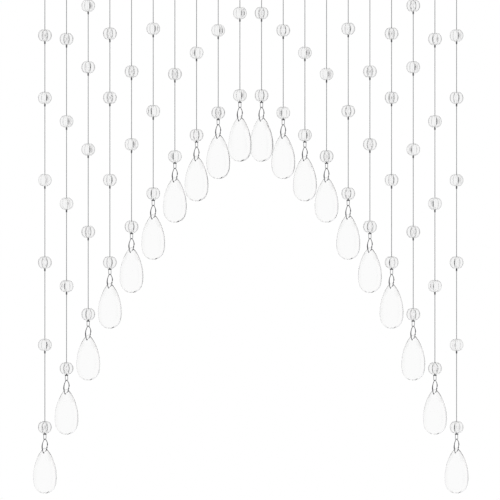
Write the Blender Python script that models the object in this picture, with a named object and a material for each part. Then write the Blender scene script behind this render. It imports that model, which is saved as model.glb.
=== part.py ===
"""Bead curtain: twenty beaded strings sewn into a narrow heading tape.

The strings stand 25 mm apart and end along an arch, long at both sides and
short in the middle. Clear beads sit on them about 95 mm apart, each held up by
a crimp. They are plain barrels here, with eight flats for their flutes. Below
its last bead every string ends in a small loop whose legs a ferrule clamps,
and a bent wire bail links that loop to the hole of a clear drop.

Metres, +Z up, +X along the heading, +Y to the back. The origin is the middle
of the heading's top edge.
"""

import math
from collections import namedtuple

import bmesh
import bpy
import numpy as np
from mathutils import Matrix

# Heading tape, with half a pitch of tape beyond the outer strings
STRING_PITCH = 0.025
STRING_COUNT = 20
HEADING_WIDE = STRING_COUNT * STRING_PITCH
HEADING_TALL = 0.025
HEADING_THICK = 0.002

# Strings and what is threaded on them
STRING_WIDE = 0.0010
BEAD_WIDE = 0.0160
BEAD_TALL = 0.0148
BEAD_SIDES = 8
BEAD_GAP = 0.095
CRIMP_WIDE = 0.0018
CRIMP_TALL = 0.0027
CRIMP_FOOT = 0.0002
FERRULE_WIDE = 0.0040
FERRULE_DEEP = 0.0026
FERRULE_TALL = 0.0013

# End loop of thinner line, measured down from the last bead's middle
LOOP_LINE_WIDE = 0.0007
LOOP_RADIUS = 0.0015
LOOP_TURN_DOWN = 0.0134
LOOP_ARC_STEPS = 4
LOOP_ROOT = 0.0005

# Clear drop: its widest level parts a long upper half from a short round foot
DROP_WIDE = 0.028
DROP_THICK = 0.011
DROP_UPPER = 0.0324
DROP_LOWER = 0.0199
DROP_TAPER = 1.6
DROP_TIP_BLUNTNESS = 0.65
DROP_FOOT_FULLNESS = 2.4
DROP_THICKNESS_FALL = 1.2
DROP_SIDES = 12
DROP_HOLE_DOWN = 0.02805
DROP_HOLE_WIDE = 0.0034
DROP_HOLE_SIDES = 12
DROP_HOLE_BELOW_TIP = 0.0041
DROP_TURN = math.radians(8)

# The two middle drops hang level and are wider than the strings' pitch, so they
# turn further to pass each other
MIDDLE_DROP_TURN = math.radians(16)

# Wire bail, turned a little further than the drop that hangs on it; its arms
# pass in front of the drop's tip and behind it, and its prongs meet in the hole
BAIL_WIRE = 0.0008
BAIL_TURN = math.radians(28)

# One half of the curtain, from the outer string to the middle one:
# how far the last bead's middle hangs below the heading, the number of beads,
# and the gap from the top bead to the next one
String = namedtuple("String", "last_bead beads top_gap")
HALF_CURTAIN = (
    String(0.5129, 6, 0.072),
    String(0.4450, 5, BEAD_GAP),
    String(0.3825, 5, 0.071),
    String(0.3227, 4, 0.074),
    String(0.2815, 3, 0.084),
    String(0.2432, 3, BEAD_GAP),
    String(0.2004, 2, BEAD_GAP),
    String(0.1759, 2, BEAD_GAP),
    String(0.1501, 2, BEAD_GAP),
    String(0.1301, 2, BEAD_GAP),
)

# A bead's rings, as shares of its half height and of its half width
BeadRing = namedtuple("BeadRing", "up out")
BEAD_RINGS = (
    BeadRing(0.82, 0.60),
    BeadRing(0.34, 1.00),
    BeadRing(-0.34, 1.00),
    BeadRing(-0.82, 0.60),
)

# A bail's arms from its crown to their prongs: how far out from the middle
# plane, and how far down from the last bead's middle
ArmPoint = namedtuple("ArmPoint", "out down")
BAIL_CROWN_DOWN = 0.0133
BAIL_FRONT_ARM = (
    ArmPoint(0.0012, 0.0136),
    ArmPoint(0.0034, 0.0160),
    ArmPoint(0.0052, 0.0184),
    ArmPoint(0.0062, 0.0220),
    ArmPoint(0.0054, 0.0262),
    ArmPoint(0.0030, 0.0298),
    ArmPoint(0.0010, 0.0282),
)
BAIL_BACK_ARM = (
    ArmPoint(0.0012, 0.0136),
    ArmPoint(0.0035, 0.0155),
    ArmPoint(0.0053, 0.0176),
    ArmPoint(0.0061, 0.0200),
    ArmPoint(0.0046, 0.0236),
    ArmPoint(0.0047, 0.0268),
    ArmPoint(0.0010, 0.0280),
)

# A drop's rings: shares of the upper half, then of the round foot
DROP_UPPER_RINGS = (0.96, 0.78, 0.50, 0.25, 0.0)
DROP_LOWER_RINGS = (0.50, 0.86)

# Colours as linear red, green and blue
BEADED_STRING_COLOUR = (0.80, 0.82, 0.84)
CLEAR_ACRYLIC_COLOUR = (0.93, 0.95, 0.96)
DARK_SILVER_COLOUR = (0.42, 0.42, 0.43)

SMOOTH_ANGLE = math.radians(40)


def clear_scene():
    """Remove whatever the open file holds."""
    for old in list(bpy.data.objects):
        bpy.data.objects.remove(old, do_unlink=True)


def make_material(name, colour, roughness, metallic=0.0, transmission=0.0):
    """A Principled material in one colour."""
    material = bpy.data.materials.new(name)
    material.use_nodes = True
    shader = material.node_tree.nodes["Principled BSDF"]
    shader.inputs["Base Color"].default_value = (*colour, 1.0)
    shader.inputs["Roughness"].default_value = roughness
    shader.inputs["Metallic"].default_value = metallic
    shader.inputs["Transmission Weight"].default_value = transmission
    return material


def add_object(name, mesh, material=None):
    """Put a mesh into the scene under a name."""
    if material is not None:
        mesh.materials.append(material)
    item = bpy.data.objects.new(name, mesh)
    bpy.context.scene.collection.objects.link(item)
    return item


def add_operand(name, mesh):
    """A shape that only takes part in a Boolean."""
    item = add_object(name, mesh)
    item.hide_render = True
    item.display_type = "WIRE"
    return item


def add_boolean(target, operation, operand):
    """Join the operand to the target, or cut it away."""
    modifier = target.modifiers.new(operand.name, "BOOLEAN")
    modifier.operation = operation
    modifier.solver = "EXACT"
    modifier.object = operand


def mesh_from(name, bm):
    """Close a bmesh into a mesh with its faces pointing out."""
    bmesh.ops.recalc_face_normals(bm, faces=bm.faces)
    mesh = bpy.data.meshes.new(name)
    bm.to_mesh(mesh)
    bm.free()
    mesh.shade_smooth()
    mesh.set_sharp_from_angle(angle=SMOOTH_ANGLE)
    return mesh


def ring_of(bm, points):
    """A closed ring of vertices, with no edges yet."""
    return [bm.verts.new(point) for point in points]


def join_rings(bm, upper, lower):
    """Faces between two rings of four and of eight corners, or of one size.

    A square's corner i faces the flat between corners 2i and 2i + 1 of the
    eight-sided ring, so it takes one triangle there and one quad beyond it.
    """
    if len(upper) == len(lower):
        count = len(upper)
        for i in range(count):
            j = (i + 1) % count
            bm.faces.new((upper[i], upper[j], lower[j], lower[i]))
        return
    few, many = (upper, lower) if len(upper) < len(lower) else (lower, upper)
    for i, corner in enumerate(few):
        left, right = many[2 * i], many[2 * i + 1]
        after = many[(2 * i + 2) % len(many)]
        bm.faces.new((corner, left, right))
        bm.faces.new((corner, right, after, few[(i + 1) % len(few)]))


def loft(bm, rings, cap_top=True, cap_bottom=True):
    """One closed skin through a list of rings, from top to bottom."""
    for upper, lower in zip(rings, rings[1:]):
        join_rings(bm, upper, lower)
    if cap_top:
        bm.faces.new(rings[0])
    if cap_bottom:
        bm.faces.new(rings[-1])


def square_points(x, z, half_wide, half_deep):
    """Corners of an upright string's section, counted from the back right."""
    signs = ((1, 1), (-1, 1), (-1, -1), (1, -1))
    return [(x + sx * half_wide, sy * half_deep, z) for sx, sy in signs]


def bead_points(x, z, out):
    """One ring of a bead, with flats to the front, back and sides."""
    corner = 0.5 * BEAD_WIDE * out / math.cos(math.pi / BEAD_SIDES)
    angles = (np.arange(BEAD_SIDES) + 0.5) * 2.0 * math.pi / BEAD_SIDES
    return [(x + corner * math.cos(a), corner * math.sin(a), z) for a in angles]


def bead_heights(string):
    """Heights of a string's beads, from the top one down."""
    lowest = -HEADING_TALL - string.last_bead
    heights = [lowest + BEAD_GAP * k for k in range(string.beads - 1)]
    heights.append(heights[-1] + string.top_gap)
    return heights[::-1]


def add_string(bm, x, string):
    """A four-sided string with its beads, crimps and ferrule as one skin."""
    half = 0.5 * STRING_WIDE
    heights = bead_heights(string)
    rings = [ring_of(bm, square_points(x, -0.5 * HEADING_TALL, half, half))]
    for z in heights:
        rings.append(ring_of(bm, square_points(x, z + 0.5 * BEAD_TALL, half, half)))
        for bead in BEAD_RINGS:
            level = z + 0.5 * BEAD_TALL * bead.up
            rings.append(ring_of(bm, bead_points(x, level, bead.out)))
        foot = z - 0.5 * BEAD_TALL
        if z == heights[-1]:
            wide, deep = 0.5 * FERRULE_WIDE, 0.5 * FERRULE_DEEP
            rings.append(ring_of(bm, square_points(x, foot, wide, deep)))
            rings.append(ring_of(bm, square_points(x, foot - FERRULE_TALL, wide, deep)))
        else:
            wide = 0.5 * CRIMP_WIDE
            below = foot - CRIMP_TALL
            rings.append(ring_of(bm, square_points(x, foot, wide, wide)))
            rings.append(ring_of(bm, square_points(x, below, wide, wide)))
            rings.append(ring_of(bm, square_points(x, below - CRIMP_FOOT, half, half)))
    loft(bm, rings)


def flat_tube(bm, path, normal, half):
    """A square wire carried along a path that lies in one plane.

    The corners stand half a wire out along the plane's normal and along the
    mitre of the two runs that meet at each point.
    """
    path = np.asarray(path, dtype=float)
    normal = np.asarray(normal, dtype=float)
    runs = np.diff(path, axis=0)
    runs /= np.linalg.norm(runs, axis=1)[:, None]
    before = np.vstack((runs[:1], runs))
    after = np.vstack((runs, runs[-1:]))
    tangent = before + after
    tangent /= np.linalg.norm(tangent, axis=1)[:, None]
    stretch = half / np.sum(tangent * after, axis=1)[:, None]
    side = np.cross(tangent, normal) * stretch
    across = normal * half
    corners = (side + across, across - side, -side - across, side - across)
    rings = [ring_of(bm, [point + corner[i] for corner in corners]) for i, point in enumerate(path)]
    loft(bm, rings)


def add_end_loop(bm, x, bead_z):
    """The string's loop: two legs out of the ferrule and a round turn below."""
    root_z = bead_z - 0.5 * BEAD_TALL - FERRULE_TALL + LOOP_ROOT
    turn_z = bead_z - LOOP_TURN_DOWN
    path = [(x - LOOP_RADIUS, 0.0, root_z)]
    for step in range(LOOP_ARC_STEPS + 1):
        angle = math.pi * (1.0 + step / LOOP_ARC_STEPS)
        path.append((x + LOOP_RADIUS * math.cos(angle), 0.0,
                     turn_z + LOOP_RADIUS * math.sin(angle)))
    path.append((x + LOOP_RADIUS, 0.0, root_z))
    flat_tube(bm, path, (0.0, 1.0, 0.0), 0.5 * LOOP_LINE_WIDE)


def heading_mesh():
    """The flat tape, its top edge at height zero."""
    bm = bmesh.new()
    bmesh.ops.create_cube(bm, size=1.0)
    bmesh.ops.scale(bm, vec=(HEADING_WIDE, HEADING_THICK, HEADING_TALL), verts=bm.verts)
    bmesh.ops.translate(bm, vec=(0.0, 0.0, -0.5 * HEADING_TALL), verts=bm.verts)
    return mesh_from("heading", bm)


def drop_share(level):
    """Half width of a drop as a share of its greatest, by signed level.

    Above the widest level (0 to 1) the outline is one less the level to the
    power of the taper, all to the power of the bluntness: nearly straight
    towards a blunt tip. Below it (0 to -1) it is a superellipse, a full round
    foot.
    """
    depth = abs(level)
    if level >= 0.0:
        return (1.0 - depth ** DROP_TAPER) ** DROP_TIP_BLUNTNESS
    return (1.0 - depth ** DROP_FOOT_FULLNESS) ** (1.0 / DROP_FOOT_FULLNESS)


def drop_height(level):
    """Height of a level over the middle of the hole."""
    widest = DROP_HOLE_BELOW_TIP - DROP_UPPER
    return widest + level * (DROP_UPPER if level >= 0.0 else DROP_LOWER)


def drop_ring(bm, level):
    """One oval ring of a drop, its middle on the drop's own axis.

    The thickness falls off a little faster than the width, towards a thin flat
    tip.
    """
    share = drop_share(level)
    wide = 0.5 * DROP_WIDE * share
    deep = 0.5 * DROP_THICK * share ** DROP_THICKNESS_FALL
    angles = np.arange(DROP_SIDES) * 2.0 * math.pi / DROP_SIDES
    z = drop_height(level)
    return ring_of(bm, [(wide * math.cos(a), deep * math.sin(a), z) for a in angles])


def close_to_point(bm, ring, z):
    """A fan of triangles from a ring to a point on the axis."""
    point = bm.verts.new((0.0, 0.0, z))
    for i, corner in enumerate(ring):
        bm.faces.new((corner, ring[(i + 1) % len(ring)], point))


def drop_mesh():
    """The clear drop, drilled from front to back below its tip."""
    bm = bmesh.new()
    levels = DROP_UPPER_RINGS + tuple(-share for share in DROP_LOWER_RINGS)
    rings = [drop_ring(bm, level) for level in levels]
    loft(bm, rings, cap_top=False, cap_bottom=False)
    close_to_point(bm, rings[0], drop_height(1.0))
    close_to_point(bm, rings[-1], drop_height(-1.0))
    blank = add_object("drop_blank", mesh_from("drop_blank", bm))

    bm = bmesh.new()
    bmesh.ops.create_cone(bm, cap_ends=True, segments=DROP_HOLE_SIDES, depth=2.0 * DROP_THICK,
                          radius1=0.5 * DROP_HOLE_WIDE, radius2=0.5 * DROP_HOLE_WIDE)
    bmesh.ops.rotate(bm, verts=bm.verts, matrix=Matrix.Rotation(math.pi / 2.0, 3, "X"))
    drill = add_operand("drop_drill", mesh_from("drop_drill", bm))
    add_boolean(blank, "DIFFERENCE", drill)

    bpy.context.view_layer.update()
    evaluated = blank.evaluated_get(bpy.context.evaluated_depsgraph_get())
    mesh = bpy.data.meshes.new_from_object(evaluated)
    mesh.name = "drop"
    for spent in (blank, drill):
        bpy.data.objects.remove(spent, do_unlink=True)
    return mesh


def bail_mesh():
    """The wire bail in the plane of front and back, under its bead's middle."""
    front = [(0.0, -point.out, -point.down) for point in reversed(BAIL_FRONT_ARM)]
    back = [(0.0, point.out, -point.down) for point in BAIL_BACK_ARM]
    crown = [(0.0, 0.0, -BAIL_CROWN_DOWN)]
    bm = bmesh.new()
    flat_tube(bm, front + crown + back, (1.0, 0.0, 0.0), 0.5 * BAIL_WIRE)
    return mesh_from("bail", bm)


def build_beaded_strings(strings):
    """Heading, strings, beads, ferrules and end loops, fused into one solid."""
    material = make_material("clear_beads_on_grey_line", BEADED_STRING_COLOUR, 0.15)
    body = add_object("beaded_strings", heading_mesh(), material)
    string_skin = bmesh.new()
    loop_skin = bmesh.new()
    for x, string in strings:
        add_string(string_skin, x, string)
        add_end_loop(loop_skin, x, bead_heights(string)[-1])
    add_boolean(body, "UNION", add_operand("string_skins", mesh_from("strings", string_skin)))
    add_boolean(body, "UNION", add_operand("loop_skins", mesh_from("loops", loop_skin)))


def build_pendants(strings):
    """A bail and a drop under every string, numbered from the left."""
    drop = drop_mesh()
    drop.materials.append(make_material("clear_acrylic", CLEAR_ACRYLIC_COLOUR, 0.03, transmission=1.0))
    bail = bail_mesh()
    bail.materials.append(make_material("dark_silver_wire", DARK_SILVER_COLOUR, 0.30, metallic=1.0))
    for number, (x, string) in enumerate(strings, start=1):
        bead_z = bead_heights(string)[-1]
        hung_bail = add_object(f"bail_{number:02d}", bail)
        hung_bail.location = (x, 0.0, bead_z)
        hung_bail.rotation_euler = (0.0, 0.0, -BAIL_TURN)
        turn = MIDDLE_DROP_TURN if string is HALF_CURTAIN[-1] else DROP_TURN
        hung_drop = add_object(f"drop_{number:02d}", drop)
        hung_drop.location = (x, 0.0, bead_z - DROP_HOLE_DOWN)
        hung_drop.rotation_euler = (0.0, 0.0, -turn)


def main():
    clear_scene()
    whole_curtain = HALF_CURTAIN + HALF_CURTAIN[::-1]
    first_x = -0.5 * (STRING_COUNT - 1) * STRING_PITCH
    strings = [(first_x + STRING_PITCH * k, string) for k, string in enumerate(whole_curtain)]
    build_beaded_strings(strings)
    build_pendants(strings)


main()
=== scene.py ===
"""Looks of the bead curtain: clear beads and drops on grey line, under a folded tape."""

import math
from collections import namedtuple

import bmesh
import bpy
import numpy as np
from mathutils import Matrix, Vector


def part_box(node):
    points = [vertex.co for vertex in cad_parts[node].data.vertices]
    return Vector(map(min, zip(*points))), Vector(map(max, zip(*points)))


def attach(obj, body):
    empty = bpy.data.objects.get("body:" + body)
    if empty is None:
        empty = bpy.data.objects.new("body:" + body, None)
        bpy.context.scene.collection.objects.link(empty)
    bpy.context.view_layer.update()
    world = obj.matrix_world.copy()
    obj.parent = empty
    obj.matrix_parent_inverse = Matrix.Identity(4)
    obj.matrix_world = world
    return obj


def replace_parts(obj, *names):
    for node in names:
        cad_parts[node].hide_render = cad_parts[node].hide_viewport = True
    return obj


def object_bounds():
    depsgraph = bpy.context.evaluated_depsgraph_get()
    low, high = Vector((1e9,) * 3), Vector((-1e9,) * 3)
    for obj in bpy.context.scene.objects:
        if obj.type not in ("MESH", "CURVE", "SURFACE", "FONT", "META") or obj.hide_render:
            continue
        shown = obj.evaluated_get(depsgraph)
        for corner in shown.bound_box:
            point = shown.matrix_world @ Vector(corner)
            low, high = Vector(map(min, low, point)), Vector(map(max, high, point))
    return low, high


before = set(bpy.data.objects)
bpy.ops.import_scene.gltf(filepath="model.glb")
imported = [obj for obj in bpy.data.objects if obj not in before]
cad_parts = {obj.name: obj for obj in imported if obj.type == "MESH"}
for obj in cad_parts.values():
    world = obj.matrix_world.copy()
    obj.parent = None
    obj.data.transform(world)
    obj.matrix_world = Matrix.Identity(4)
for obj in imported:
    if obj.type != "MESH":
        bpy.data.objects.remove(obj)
cad_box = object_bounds()

# Photograph's frame: 500 pixels across, strings 21.67 pixels and 25 mm apart
PHOTO_PIXELS = 500
STRING_PITCH = 0.025
STRING_PITCH_PIXELS = 21.6685
METRES_PER_PIXEL = STRING_PITCH / STRING_PITCH_PIXELS
MIDDLE_PIXEL_X = 250.72
PHOTO_TOP_BELOW_HEADING = 0.020
CAMERA_LENS = 400.0
CAMERA_SENSOR = 36.0

# Heading tape, folded over the strings' upper ends
HEADING_TALL = 0.025
HEADING_THICK = 0.002
TAPE_LAYER = 0.0007
STITCH_LONG = 0.0032
STITCH_THICK = 0.00045
STITCH_HALF_SHARE = 0.42
STITCH_TIP_SHARE = 0.1
STITCH_ROWS_DOWN = (0.0045, 0.0205)
STITCHES_LEFT_OUT = 2

# Three-ply line
LINE_RADIUS = 0.0005
LINE_LAY = 0.0060
LINE_PLIES = 3
PLY_GROOVE = 0.2
RINGS_PER_LAY = 6
LINE_END_BELOW_BEAD = 0.0004

# Melon beads
BEAD_WIDE = 0.0160
BEAD_TALL = 0.0148
BEAD_LOBES = 10
BEAD_ROUNDNESS = 2.25
BEAD_GAP = 0.095
BEAD_CREASE = math.radians(32)
GROOVE_DEPTH = 0.20
GROOVE_WIDTH_POWER = 1.6
MOUTH_DIP = 0.0011
MOUTH_DIP_RADIUS = 0.0042

# The bore takes the line and not the crimp under it, and leaves room for a slight lean
BEAD_BORE = 0.0016
BORE_CHAMFER = 0.0003
BORE_CHAMFER_DEEP = 0.0005
BEAD_SEED = 7
BEAD_TURN_SHARE = 0.6
BEAD_LEAN = math.radians(2.3)
LEAN_TOWARDS = (0.2, 1.0)
LEAN_RIGHT = (-0.2, 0.7)

# Crimps, ferrules and the line's end loops
CRIMP_RADIUS = 0.00092
CRIMP_TALL = 0.0027
CRIMP_ROOT = 0.0006
FERRULE_WIDE = 0.0040
FERRULE_DEEP = 0.0026
FERRULE_TALL = 0.0013
RIM_SHARE = 0.22
LOOP_LINE_RADIUS = 0.00035
LOOP_RADIUS = 0.0014
LOOP_TURN_DOWN = 0.0128
LOOP_START_BELOW_BEAD = 0.0008

# Clear drops and their bails, measured down from the last bead's middle
DROP_WIDE = 0.028
DROP_THICK = 0.011
DROP_UPPER = 0.0324
DROP_LOWER = 0.0199
DROP_TAPER = 1.6
DROP_TIP_BLUNTNESS = 0.65
DROP_FOOT_FULLNESS = 2.4
DROP_TIP_THINNING = 1.2
DROP_FOOT_THINNING = 0.95
DROP_HOLE_DOWN = 0.02805
DROP_HOLE_WIDE = 0.0034
DROP_HOLE_BELOW_TIP = 0.0041
DROP_TURN = math.radians(-8)
MIDDLE_DROP_TURN = math.radians(-16)
DROP_CREASE = math.radians(50)
BAIL_TURN = math.radians(-28)
PRONG_SHARE = 0.03
PRONG_POINT = 0.45

# Patterns of the materials, in patches a metre
MOULD_RIPPLES = 160.0
LINE_FIBRES = 2200.0
PRESS_MARKS = 600.0
THREAD_TWISTS = 1800.0

# A wave's ribs stand 2 pi / (20 scale) apart, here 0.9 mm
TWILL_SCALE = 350.0
TWILL_SLANT = math.radians(50)

# The floor lies well below the lowest drops
FLOOR_BELOW = 1.00
FLOOR_RADIUS = 1.50

# Dark bands of the room, by how far a direction points to front or back, or up or down
BAND_FADES_IN = (0.06, 0.16)
BAND_FADES_OUT = (0.15, 0.70)
BAND_TOP = 0.8
RIGHT_BAND_SHARE = 0.35

# Beads on each string of one half, outer string first, and the gap under the top one
String = namedtuple("String", "beads top_gap")
HALF_CURTAIN = (
    String(6, 0.072), String(5, BEAD_GAP), String(5, 0.071), String(4, 0.074),
    String(3, 0.084), String(3, BEAD_GAP), String(2, BEAD_GAP), String(2, BEAD_GAP),
    String(2, BEAD_GAP), String(2, BEAD_GAP),
)

# A bail's two arms from its crown to their prongs, with the wire's radius at each point
ArmPoint = namedtuple("ArmPoint", "out down radius")
BAIL_CROWN = ArmPoint(0.0, 0.0135, 0.00040)
BAIL_FRONT_ARM = (
    ArmPoint(0.0013, 0.0139, 0.00038),
    ArmPoint(0.0034, 0.0160, 0.00040),
    ArmPoint(0.0052, 0.0184, 0.00044),
    ArmPoint(0.0062, 0.0216, 0.00062),
    ArmPoint(0.0060, 0.0240, 0.00070),
    ArmPoint(0.0050, 0.0270, 0.00046),
    ArmPoint(0.0030, 0.0298, 0.00042),
    ArmPoint(0.0010, 0.0282, 0.00030),
)
BAIL_BACK_ARM = (
    ArmPoint(0.0013, 0.0138, 0.00038),
    ArmPoint(0.0035, 0.0155, 0.00040),
    ArmPoint(0.0053, 0.0176, 0.00042),
    ArmPoint(0.0060, 0.0203, 0.00062),
    ArmPoint(0.0053, 0.0220, 0.00034),
    ArmPoint(0.0048, 0.0235, 0.00074),
    ArmPoint(0.0042, 0.0249, 0.00032),
    ArmPoint(0.0047, 0.0266, 0.00068),
    ArmPoint(0.0004, 0.0280, 0.00068),
)


def linear(hex_colour):
    """An sRGB hex colour as linear red, green, blue and alpha."""
    values = np.array([int(hex_colour[i:i + 2], 16) for i in (1, 3, 5)]) / 255.0
    low = values / 12.92
    high = ((values + 0.055) / 1.055) ** 2.4
    return (*np.where(values <= 0.04045, low, high), 1.0)


# Meshes

def grid_faces(rows, columns, closed_rows=False, closed_columns=True):
    """Quads of a grid of points, numbered row by row."""
    numbers = np.arange(rows * columns).reshape(rows, columns)
    if closed_columns:
        numbers = np.hstack((numbers, numbers[:, :1]))
    if closed_rows:
        numbers = np.vstack((numbers, numbers[:1]))
    corners = (numbers[:-1, :-1], numbers[:-1, 1:], numbers[1:, 1:], numbers[1:, :-1])
    return np.stack([c.ravel() for c in corners], axis=1)


def merge(parts):
    """Several (points, faces) pairs as one, with the faces renumbered."""
    points, faces, offset = [], [], 0
    for part_points, part_faces in parts:
        points.append(part_points)
        faces.extend((np.asarray(face) + offset).tolist() for face in part_faces)
        offset += len(part_points)
    return np.vstack(points), faces


def tube(grid):
    """A closed skin over a grid of rings, with a point in the middle of each end."""
    rows, columns = grid.shape[:2]
    points = grid.reshape(-1, 3)
    ends = np.array([grid[0].mean(axis=0), grid[-1].mean(axis=0)])
    faces = grid_faces(rows, columns).tolist()
    first, last = len(points), len(points) + 1
    for j in range(columns):
        k = (j + 1) % columns
        faces.append([j, first, k])
        faces.append([(rows - 1) * columns + j, (rows - 1) * columns + k, last])
    return np.vstack((points, ends)), faces


def round_angles(count):
    """Angles evenly spaced round a whole turn."""
    return np.arange(count) * 2.0 * math.pi / count


def swept(path, normal, radii, sides):
    """Rings round a path that lies in one plane.

    A ring's point is the path's point plus its radius times cos a along the
    plane's normal and sin a across it. radii is one number a ring, or one for
    each point of each ring.
    """
    path = np.asarray(path, dtype=float)
    normal = np.asarray(normal, dtype=float)
    tangent = np.gradient(path, axis=0)
    tangent /= np.linalg.norm(tangent, axis=1)[:, None]
    across = np.cross(tangent, normal)
    angles = round_angles(sides)
    radii = np.asarray(radii, dtype=float)
    if radii.ndim == 1:
        radii = radii[:, None]
    out = (np.cos(angles)[None, :, None] * normal
           + np.sin(angles)[None, :, None] * across[:, None, :])
    return path[:, None, :] + radii[..., None] * out


def smooth_path(points, steps):
    """A Catmull-Rom curve through the points, with a number of steps a span."""
    points = np.asarray(points, dtype=float)
    padded = np.vstack((2 * points[0] - points[1], points, 2 * points[-1] - points[-2]))
    t = np.arange(steps)[:, None] / steps
    before, start, end, after = (padded[i:len(padded) - 3 + i, None, :] for i in range(4))
    curve = 0.5 * (2 * start + (end - before) * t
                   + (2 * before - 5 * start + 4 * end - after) * t ** 2
                   + (3 * start - before - 3 * end + after) * t ** 3)
    return np.vstack((curve.reshape(-1, 3), points[-1:]))


def turned(points, angle):
    """Points turned about the upright axis."""
    c, s = math.cos(angle), math.sin(angle)
    return points @ np.array(((c, s, 0.0), (-s, c, 0.0), (0.0, 0.0, 1.0)))


def leaned(points, towards, right):
    """Points whose upright axis leans by two angles, to the viewer and to the right."""
    c, s = math.cos(towards), math.sin(towards)
    points = points @ np.array(((1.0, 0.0, 0.0), (0.0, c, s), (0.0, -s, c)))
    c, s = math.cos(right), math.sin(right)
    return points @ np.array(((c, 0.0, -s), (0.0, 1.0, 0.0), (s, 0.0, c)))


# Objects

def skin_mesh(name, shape, crease=None):
    """A smooth mesh with outward faces, sharp where it bends by more than the crease."""
    points, faces = shape
    mesh = bpy.data.meshes.new(name)
    mesh.from_pydata(points.tolist(), [], faces)
    bm = bmesh.new()
    bm.from_mesh(mesh)
    bmesh.ops.recalc_face_normals(bm, faces=bm.faces)
    bm.to_mesh(mesh)
    bm.free()
    mesh.shade_smooth()
    if crease is not None:
        mesh.set_sharp_from_angle(angle=crease)
    return mesh


def put_in_scene(name, data):
    """An object for a mesh or a camera, at the origin."""
    thing = bpy.data.objects.new(name, data)
    bpy.context.scene.collection.objects.link(thing)
    return thing


def dress(name, mesh, material):
    """A piece in its material, riding on the one body."""
    piece = put_in_scene(name, mesh)
    mesh.materials.append(material)
    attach(piece, "root")
    return piece


# Materials

def add_node(tree, kind, settings=None, **inputs):
    """A node with its settings, and its inputs as values or as sockets to link."""
    node = tree.nodes.new(kind)
    for key, value in (settings or {}).items():
        setattr(node, key, value)
    for key, value in inputs.items():
        numbered = key[0] == "i" and key[1:].isdigit()
        socket = node.inputs[int(key[1:]) if numbered else key.replace("_", " ")]
        if isinstance(value, bpy.types.NodeSocket):
            tree.links.new(value, socket)
        else:
            socket.default_value = value
    return node


def new_material(name, **values):
    """A material with its Principled shader's constants set on its own sockets."""
    material = bpy.data.materials.new(name)
    material.use_nodes = True
    shader = material.node_tree.nodes["Principled BSDF"]
    for key, value in values.items():
        shader.inputs[key.replace("_", " ")].default_value = value
    return material, material.node_tree, shader


def clear_acrylic(name, tint, roughness=0.015):
    """Clear acrylic with a 6 mm ripple left by its mould: polished, or matt where drilled."""
    material, tree, shader = new_material(
        name, Base_Color=linear(tint), Roughness=roughness, IOR=1.49, Transmission_Weight=1.0)
    place = add_node(tree, "ShaderNodeTexCoord")
    ripple = add_node(tree, "ShaderNodeTexNoise", Vector=place.outputs["Object"],
                      Scale=MOULD_RIPPLES, Detail=2.0)
    bump = add_node(tree, "ShaderNodeBump", Strength=0.05, Distance=0.0004,
                    Height=ripple.outputs["Fac"])
    tree.links.new(bump.outputs["Normal"], shader.inputs["Normal"])
    return material


def spun_line():
    """Spun polyester line, matt grey, with lighter and darker fibres half a millimetre long."""
    material, tree, shader = new_material(
        "grey_polyester_line", Roughness=0.62, IOR=1.5, Sheen_Weight=0.25)
    place = add_node(tree, "ShaderNodeTexCoord")
    fibres = add_node(tree, "ShaderNodeTexNoise", Vector=place.outputs["Object"],
                      Scale=LINE_FIBRES, Detail=3.0)
    colours = add_node(tree, "ShaderNodeValToRGB", Fac=fibres.outputs["Fac"])
    colours.color_ramp.elements[0].position = 0.30
    colours.color_ramp.elements[0].color = linear("#7d7e80")
    colours.color_ramp.elements[1].position = 0.70
    colours.color_ramp.elements[1].color = linear("#a9aaac")
    tree.links.new(colours.outputs["Color"], shader.inputs["Base Color"])
    bump = add_node(tree, "ShaderNodeBump", Strength=0.3, Distance=0.0001,
                    Height=fibres.outputs["Fac"])
    tree.links.new(bump.outputs["Normal"], shader.inputs["Normal"])
    return material


def plated_metal(name, dark, light, roughness):
    """Plated brass pressed to shape: grey metal, darker in patches where it was squeezed."""
    material, tree, shader = new_material(name, Metallic=1.0, Roughness=roughness)
    place = add_node(tree, "ShaderNodeTexCoord")
    marks = add_node(tree, "ShaderNodeTexNoise", Vector=place.outputs["Object"],
                     Scale=PRESS_MARKS, Detail=3.0)
    colours = add_node(tree, "ShaderNodeValToRGB", Fac=marks.outputs["Fac"])
    colours.color_ramp.elements[0].position = 0.25
    colours.color_ramp.elements[0].color = linear(dark)
    colours.color_ramp.elements[1].position = 0.75
    colours.color_ramp.elements[1].color = linear(light)
    tree.links.new(colours.outputs["Color"], shader.inputs["Base Color"])
    return material


def woven_tape():
    """Cotton twill tape: off-white ribs 0.9 mm apart that climb across the warp."""
    material, tree, shader = new_material(
        "cotton_twill_tape", Roughness=0.85, IOR=1.5, Sheen_Weight=0.3)
    place = add_node(tree, "ShaderNodeTexCoord")
    slant = add_node(tree, "ShaderNodeMapping", Vector=place.outputs["Object"],
                     Rotation=(0.0, TWILL_SLANT, 0.0))
    ribs = add_node(tree, "ShaderNodeTexWave", {"wave_type": "BANDS", "bands_direction": "X"},
                    Vector=slant.outputs["Vector"], Scale=TWILL_SCALE,
                    Distortion=0.6, Detail=2.0)
    colours = add_node(tree, "ShaderNodeValToRGB", Fac=ribs.outputs["Fac"])
    colours.color_ramp.elements[0].color = linear("#e6e3dc")
    colours.color_ramp.elements[1].color = linear("#fbfaf6")
    tree.links.new(colours.outputs["Color"], shader.inputs["Base Color"])
    bump = add_node(tree, "ShaderNodeBump", Strength=0.6, Distance=0.0003,
                    Height=ribs.outputs["Fac"])
    tree.links.new(bump.outputs["Normal"], shader.inputs["Normal"])
    return material


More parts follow.
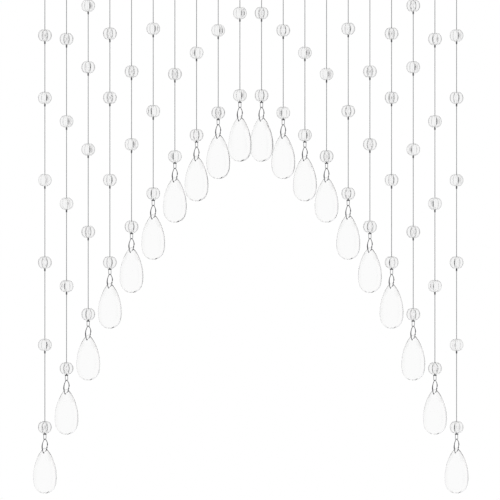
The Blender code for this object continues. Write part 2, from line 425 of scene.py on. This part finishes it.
def sewing_thread():
    """Spun polyester thread, off-white, a little glossier than the tape."""
    material, tree, shader = new_material(
        "white_sewing_thread", Roughness=0.5, IOR=1.5, Sheen_Weight=0.2)
    place = add_node(tree, "ShaderNodeTexCoord")
    twist = add_node(tree, "ShaderNodeTexNoise", Vector=place.outputs["Object"],
                     Scale=THREAD_TWISTS)
    colours = add_node(tree, "ShaderNodeValToRGB", Fac=twist.outputs["Fac"])
    colours.color_ramp.elements[0].color = linear("#e9e6df")
    colours.color_ramp.elements[1].color = linear("#fdfcf8")
    tree.links.new(colours.outputs["Color"], shader.inputs["Base Color"])
    return material


# Where things hang

Hung = namedtuple("Hung", "number x last_bead beads")


def hung_strings():
    """Each string's place and bead heights, read from its drop's own box."""
    strings = []
    table = HALF_CURTAIN + HALF_CURTAIN[::-1]
    for number, string in enumerate(table, start=1):
        low, high = (np.array(corner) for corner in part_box(f"drop_{number:02d}"))
        last = high[2] + DROP_HOLE_DOWN - DROP_HOLE_BELOW_TIP
        heights = [last + BEAD_GAP * k for k in range(string.beads - 1)]
        heights.append(heights[-1] + string.top_gap)
        strings.append(Hung(number, 0.5 * (low[0] + high[0]), last, heights[::-1]))
    return strings


# Pieces

def bead_shape():
    """One melon bead round the upright axis, with its bore and a groove to the front.

    Down the meridian t the radius is R sin(t)^p and the height H cos(t)^p, a
    superellipse, less a parabolic dip round the mouth. Between two grooves u
    runs from -1 to 1, and the skin is drawn in by depth times |u|^power. The
    bore's two rings join the last ring of the skin to its first, so the last
    three rows of faces are the bore.
    """
    rings, steps, bore_rings = 15, 6, 2
    power = 2.0 / BEAD_ROUNDNESS
    mouth = 0.5 * BEAD_BORE + BORE_CHAMFER
    least = math.asin((mouth / (0.5 * BEAD_WIDE)) ** (1.0 / power))
    t = np.linspace(least, math.pi - least, rings)
    radius = 0.5 * BEAD_WIDE * np.sin(t) ** power
    height = 0.5 * BEAD_TALL * np.sign(np.cos(t)) * np.abs(np.cos(t)) ** power
    nearness = np.clip(1.0 - radius / MOUTH_DIP_RADIUS, 0.0, 1.0)
    height -= np.sign(height) * MOUTH_DIP * nearness ** 2
    columns = BEAD_LOBES * steps
    angles = round_angles(columns) - 0.5 * math.pi
    u = 2.0 * (np.arange(columns) % steps) / steps - 1.0
    drawn_in = 1.0 - GROOVE_DEPTH * np.abs(u) ** GROOVE_WIDTH_POWER
    radius = radius[:, None] * drawn_in
    height = height[:, None] * drawn_in
    radius = np.vstack((radius, np.full((bore_rings, columns), 0.5 * BEAD_BORE)))
    height = np.vstack((height, height[-1:] + BORE_CHAMFER_DEEP, height[:1] - BORE_CHAMFER_DEEP))
    points = np.stack((radius * np.cos(angles), radius * np.sin(angles), height), axis=2)
    faces = grid_faces(len(radius), columns, closed_rows=True).tolist()
    return points.reshape(-1, 3), faces, (bore_rings + 1) * columns


def build_beads(strings, skin, bore):
    """All beads as one mesh, each turned and leaning a little on its string."""
    points, faces, bore_faces = bead_shape()
    dice = np.random.default_rng(BEAD_SEED)
    parts = []
    for string in strings:
        for z in string.beads:
            turn = dice.uniform(-BEAD_TURN_SHARE, BEAD_TURN_SHARE) * math.pi / BEAD_LOBES
            towards = dice.uniform(*LEAN_TOWARDS) * BEAD_LEAN
            right = dice.uniform(*LEAN_RIGHT) * BEAD_LEAN
            placed = leaned(turned(points, turn), towards, right) + (string.x, 0.0, z)
            parts.append((placed, faces))
    mesh = skin_mesh("melon_beads", merge(parts), BEAD_CREASE)
    piece = dress("melon_beads", mesh, skin)
    mesh.materials.append(bore)
    numbers = np.repeat((0, 1), (len(faces) - bore_faces, bore_faces))
    mesh.polygons.foreach_set("material_index", np.tile(numbers, len(parts)))
    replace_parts(piece, "beaded_strings")


def build_lines(strings, material):
    """Three-ply lines from the heading down to the ferrules.

    The radius at angle a and height z is the line's own, less up to a groove's
    share g between the plies: R (1 - g + g |cos(3/2 (a - 2 pi z / lay))|).
    """
    sides = 9
    angles = round_angles(sides)
    parts = []
    for string in strings:
        top = -0.5 * HEADING_TALL
        foot = string.last_bead - 0.5 * BEAD_TALL - LINE_END_BELOW_BEAD
        z = np.linspace(top, foot, int((top - foot) / (LINE_LAY / RINGS_PER_LAY)))
        path = np.stack((np.full_like(z, string.x), np.zeros_like(z), z), axis=1)
        phase = 0.5 * LINE_PLIES * (angles[None, :] - 2.0 * math.pi * z[:, None] / LINE_LAY)
        radii = LINE_RADIUS * (1.0 - PLY_GROOVE + PLY_GROOVE * np.abs(np.cos(phase)))
        parts.append(tube(swept(path, (1.0, 0.0, 0.0), radii, sides)))
    piece = dress("lines", skin_mesh("lines", merge(parts)), material)
    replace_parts(piece, "beaded_strings")


def build_end_loops(strings, material):
    """The line's loop under each ferrule: two legs and a half circle below them."""
    leg_points, turn_steps, sides = 11, 16, 8
    angles = math.pi * (1.0 + np.arange(turn_steps + 1) / turn_steps)
    left, right = np.full(leg_points, -LOOP_RADIUS), np.full(leg_points, LOOP_RADIUS)
    xs = np.concatenate((left, LOOP_RADIUS * np.cos(angles), right))
    parts = []
    for string in strings:
        top = string.last_bead - 0.5 * BEAD_TALL - LOOP_START_BELOW_BEAD
        turn = string.last_bead - LOOP_TURN_DOWN
        legs = np.linspace(top, turn, leg_points + 1)[:-1]
        zs = np.concatenate((legs, turn + LOOP_RADIUS * np.sin(angles), legs[::-1]))
        path = np.stack((string.x + xs, np.zeros_like(xs), zs), axis=1)
        parts.append(tube(swept(path, (0.0, 1.0, 0.0), LOOP_LINE_RADIUS, sides)))
    piece = dress("end_loops", skin_mesh("end_loops", merge(parts)), material)
    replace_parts(piece, "beaded_strings")


def rounded_can(wide, deep, tall, middle):
    """A squeezed sleeve: an oval tube whose rims roll in on a quarter circle."""
    sides, rim_points = 20, 5
    roll = RIM_SHARE * tall
    quarter = np.linspace(0.0, 0.5 * math.pi, rim_points)
    inset = roll * (1.0 - np.sin(quarter))
    height = 0.5 * tall - roll * (1.0 - np.cos(quarter))
    inset = np.concatenate((inset, inset[::-1]))
    height = np.concatenate((height, -height[::-1]))
    angles = round_angles(sides)
    x = (0.5 * wide - inset)[:, None] * np.cos(angles)
    y = (0.5 * deep - inset)[:, None] * np.sin(angles)
    z = np.broadcast_to(height[:, None], x.shape)
    return tube(np.stack((x, y, z), axis=2) + np.asarray(middle))


def build_crimps(strings, material):
    """A crimp under each bead, up in the dip of its mouth, and a wide ferrule on the last."""
    across = 2 * CRIMP_RADIUS
    parts = []
    for string in strings:
        for z in string.beads:
            foot = z - 0.5 * BEAD_TALL
            below = 0.5 * FERRULE_TALL if z == string.last_bead else CRIMP_TALL
            middle = (string.x, 0.0, foot + 0.5 * (CRIMP_ROOT - below))
            parts.append(rounded_can(across, across, CRIMP_ROOT + below, middle))
        middle = (string.x, 0.0, string.last_bead - 0.5 * BEAD_TALL - 0.5 * FERRULE_TALL)
        parts.append(rounded_can(FERRULE_WIDE, FERRULE_DEEP, FERRULE_TALL, middle))
    piece = dress("crimps", skin_mesh("crimps", merge(parts)), material)
    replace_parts(piece, "beaded_strings")


def bail_shape():
    """The wire bail in the plane of front and back, thinned to a point at both prongs."""
    steps, sides = 8, 10
    front = [(-p.out, -p.down, p.radius) for p in reversed(BAIL_FRONT_ARM)]
    back = [(p.out, -p.down, p.radius) for p in BAIL_BACK_ARM]
    crown = [(BAIL_CROWN.out, -BAIL_CROWN.down, BAIL_CROWN.radius)]
    run = smooth_path(front + crown + back, steps)
    path = np.stack((np.zeros(len(run)), run[:, 0], run[:, 1]), axis=1)
    share = np.linspace(0.0, 1.0, len(run))
    taper = np.clip(np.minimum(share, 1.0 - share) / PRONG_SHARE, PRONG_POINT, 1.0)
    return tube(swept(path, (1.0, 0.0, 0.0), run[:, 2] * taper, sides))


def build_bails(strings, material):
    """One bail on each end loop, turned a little out of the front."""
    points, faces = bail_shape()
    for string in strings:
        name = f"wire_bail_{string.number:02d}"
        placed = turned(points, BAIL_TURN) + (string.x, 0.0, string.last_bead)
        piece = dress(name, skin_mesh(name, (placed, faces)), material)
        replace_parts(piece, f"bail_{string.number:02d}")


def drop_mesh():
    """The clear drop round the middle of its hole, drilled from front to back.

    Half width over signed level t: (1 - t^taper)^bluntness above the widest
    level and a superellipse below it. Half thickness follows the same share to
    the power of the thinning. Levels are spaced by a cosine for round poles.
    """
    rows, sides, drill_sides = 60, 64, 32
    level = np.cos(np.linspace(0.0, math.pi, rows + 2)[1:-1])
    depth = np.abs(level)
    upper = level >= 0.0
    above = (1.0 - depth ** DROP_TAPER) ** DROP_TIP_BLUNTNESS
    below = (1.0 - depth ** DROP_FOOT_FULLNESS) ** (1.0 / DROP_FOOT_FULLNESS)
    share = np.where(upper, above, below)
    height = DROP_HOLE_BELOW_TIP - DROP_UPPER + level * np.where(upper, DROP_UPPER, DROP_LOWER)
    angles = round_angles(sides)
    x = (0.5 * DROP_WIDE * share)[:, None] * np.cos(angles)
    thinning = np.where(upper, DROP_TIP_THINNING, DROP_FOOT_THINNING)
    y = (0.5 * DROP_THICK * share ** thinning)[:, None] * np.sin(angles)
    z = np.broadcast_to(height[:, None], x.shape)
    reach = np.linspace(-DROP_THICK, DROP_THICK, 2)
    path = np.stack((np.zeros(2), reach, np.zeros(2)), axis=1)
    rod = swept(path, (1.0, 0.0, 0.0), 0.5 * DROP_HOLE_WIDE, drill_sides)
    blank = put_in_scene("drop_blank", skin_mesh("drop_blank", tube(np.stack((x, y, z), axis=2))))
    drill = put_in_scene("drop_drill", skin_mesh("drop_drill", tube(rod)))
    cut = blank.modifiers.new("hole", "BOOLEAN")
    cut.operation = "DIFFERENCE"
    cut.solver = "EXACT"
    cut.object = drill
    bpy.context.view_layer.update()
    evaluated = blank.evaluated_get(bpy.context.evaluated_depsgraph_get())
    mesh = bpy.data.meshes.new_from_object(evaluated)
    for spent in (blank, drill):
        bpy.data.objects.remove(spent, do_unlink=True)
    return mesh


def build_drops(strings, material):
    """One drop on each bail, turned so that no two touch; the middle two stand closest."""
    pattern = drop_mesh()
    points = np.empty(len(pattern.vertices) * 3)
    pattern.vertices.foreach_get("co", points)
    points = points.reshape(-1, 3)
    for string in strings:
        mesh = pattern.copy()
        turn = MIDDLE_DROP_TURN if abs(string.x) < STRING_PITCH else DROP_TURN
        place = (string.x, 0.0, string.last_bead - DROP_HOLE_DOWN)
        mesh.vertices.foreach_set("co", (turned(points, turn) + place).ravel())
        mesh.update()
        mesh.shade_smooth()
        mesh.set_sharp_from_angle(angle=DROP_CREASE)
        piece = dress(f"clear_drop_{string.number:02d}", mesh, material)
        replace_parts(piece, f"drop_{string.number:02d}")


def build_tape(width, material):
    """The heading tape, folded along its top edge over the strings' ends.

    Across the fold the path goes up the front layer, round a half circle and
    down the back layer; along the heading it runs straight.
    """
    rise_points, fold_points, columns = 26, 9, 251
    reach = 0.5 * HEADING_THICK - 0.5 * TAPE_LAYER
    turn = -0.5 * TAPE_LAYER - reach
    rise = np.linspace(-HEADING_TALL, turn, rise_points)
    arc = np.linspace(math.pi, 0.0, fold_points)[1:-1]
    front, back = np.full(rise_points, -reach), np.full(rise_points, reach)
    y = np.concatenate((front, reach * np.cos(arc), back))
    z = np.concatenate((rise, turn + reach * np.sin(arc), rise[::-1]))
    x = np.linspace(-0.5 * width, 0.5 * width, columns)
    grid = np.stack(np.broadcast_arrays(x[None, :], y[:, None], z[:, None]), axis=2)
    faces = grid_faces(len(y), columns, closed_columns=False).tolist()
    mesh = skin_mesh("heading_tape", (grid.reshape(-1, 3), faces))
    tape = dress("heading_tape", mesh, material)
    wall = tape.modifiers.new("thickness", "SOLIDIFY")
    wall.thickness = TAPE_LAYER
    wall.offset = 0.0
    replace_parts(tape, "beaded_strings")


def build_stitches(width, material):
    """Two rows of lockstitch on each face: short capsules, half sunk in the tape.

    Along a stitch the radius is half its thickness times the root of sin t,
    and its ends keep a small share of that.
    """
    rings, sides = 7, 6
    turns = np.linspace(0.0, math.pi, rings)
    along = -STITCH_HALF_SHARE * STITCH_LONG * np.cos(turns)
    tip = STITCH_TIP_SHARE * STITCH_THICK
    radius = np.maximum(0.5 * STITCH_THICK * np.sin(turns) ** 0.5, tip)
    path = np.stack((along, np.zeros(rings), np.zeros(rings)), axis=1)
    points, faces = tube(swept(path, (0.0, 1.0, 0.0), radius, sides))
    count = int(width / STITCH_LONG) - STITCHES_LEFT_OUT
    starts = (np.arange(count) - 0.5 * (count - 1)) * STITCH_LONG
    parts = []
    for down in STITCH_ROWS_DOWN:
        for face in (-0.5 * HEADING_THICK, 0.5 * HEADING_THICK):
            parts.extend((points + (x, face, -down), faces) for x in starts)
    mesh = skin_mesh("heading_stitches", merge(parts))
    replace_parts(dress("heading_stitches", mesh, material), "beaded_strings")


# Room

def build_floor():
    """A plain pale disc far under the curtain."""
    bm = bmesh.new()
    bmesh.ops.create_circle(bm, cap_ends=True, segments=128, radius=FLOOR_RADIUS)
    mesh = bpy.data.meshes.new("studio_floor")
    bm.to_mesh(mesh)
    bm.free()
    floor = put_in_scene("studio_floor", mesh)
    floor.location = (0.0, 0.0, cad_box[0][2] - FLOOR_BELOW)
    material, _, _ = new_material(
        "matt_white_board", Base_Color=linear("#fafaf9"), Roughness=0.8)
    mesh.materials.append(material)


def build_light():
    """A white room with dark bands between its front or back and its sides.

    Clear pieces bend the bands into view along their edges, so they show on
    white. The bands fade upwards and downwards and are paler on the right.
    """
    world = bpy.data.worlds.new("studio")
    world.use_nodes = True
    tree = world.node_tree
    smooth = {"interpolation_type": "SMOOTHSTEP"}
    product = {"operation": "MULTIPLY"}
    distance = {"operation": "ABSOLUTE"}
    place = add_node(tree, "ShaderNodeTexCoord")
    parts = add_node(tree, "ShaderNodeSeparateXYZ", Vector=place.outputs["Generated"])
    ahead = add_node(tree, "ShaderNodeMath", distance, i0=parts.outputs["Y"])
    away = add_node(tree, "ShaderNodeMapRange", smooth, Value=ahead.outputs["Value"],
                    From_Min=BAND_FADES_OUT[0], From_Max=BAND_FADES_OUT[1],
                    To_Min=1.0, To_Max=0.0)
    beside = add_node(tree, "ShaderNodeMapRange", smooth, Value=ahead.outputs["Value"],
                      From_Min=BAND_FADES_IN[0], From_Max=BAND_FADES_IN[1],
                      To_Min=0.0, To_Max=1.0)
    band = add_node(tree, "ShaderNodeMath", product,
                    i0=away.outputs["Result"], i1=beside.outputs["Result"])
    uneven = add_node(tree, "ShaderNodeMapRange", Value=parts.outputs["X"],
                      From_Min=-1.0, From_Max=1.0, To_Min=1.0, To_Max=RIGHT_BAND_SHARE)
    upright = add_node(tree, "ShaderNodeMath", distance, i0=parts.outputs["Z"])
    level = add_node(tree, "ShaderNodeMapRange", Value=upright.outputs["Value"],
                     From_Min=0.0, From_Max=BAND_TOP, To_Min=1.0, To_Max=0.0)
    sides = add_node(tree, "ShaderNodeMath", product,
                     i0=level.outputs["Result"], i1=uneven.outputs["Result"])
    share = add_node(tree, "ShaderNodeMath", product,
                     i0=band.outputs["Value"], i1=sides.outputs["Value"])
    shade = add_node(tree, "ShaderNodeValToRGB", Fac=share.outputs["Value"])
    shade.color_ramp.elements[0].color = linear("#ffffff")
    shade.color_ramp.elements[1].color = linear("#4c4c4c")
    background = tree.nodes["Background"]
    tree.links.new(shade.outputs["Color"], background.inputs["Color"])
    background.inputs["Strength"].default_value = 1.0
    bpy.context.scene.world = world
    bpy.context.scene.view_settings.view_transform = "Standard"


def build_camera():
    """Straight on, as in the photograph: its frame laid over the strings."""
    frame_side = PHOTO_PIXELS * METRES_PER_PIXEL
    middle = 0.5 * PHOTO_PIXELS
    data = bpy.data.cameras.new("camera")
    data.lens = CAMERA_LENS
    data.sensor_width = CAMERA_SENSOR
    distance = frame_side * data.lens / data.sensor_width
    camera = put_in_scene("camera", data)
    camera.location = ((middle - MIDDLE_PIXEL_X) * METRES_PER_PIXEL, -distance,
                       -HEADING_TALL - PHOTO_TOP_BELOW_HEADING - middle * METRES_PER_PIXEL)
    camera.rotation_euler = (math.radians(90), 0.0, 0.0)
    bpy.context.scene.camera = camera


def main():
    """Every piece in its material, then the room."""
    strings = hung_strings()
    width = STRING_PITCH * len(strings)
    line = spun_line()
    build_camera()
    build_beads(strings, clear_acrylic("clear_moulded_acrylic", "#f5f5f5"),
                clear_acrylic("drilled_matt_acrylic", "#f5f5f5", roughness=0.40))
    build_lines(strings, line)
    build_end_loops(strings, line)
    build_crimps(strings, plated_metal("dark_nickel_crimp", "#505052", "#707174", 0.35))
    build_bails(strings, plated_metal("dark_silver_wire", "#37383b", "#77787b", 0.25))
    build_drops(strings, clear_acrylic("clear_cast_acrylic", "#fbfbfb"))
    build_tape(width, woven_tape())
    build_stitches(width, sewing_thread())
    build_floor()
    build_light()


main()
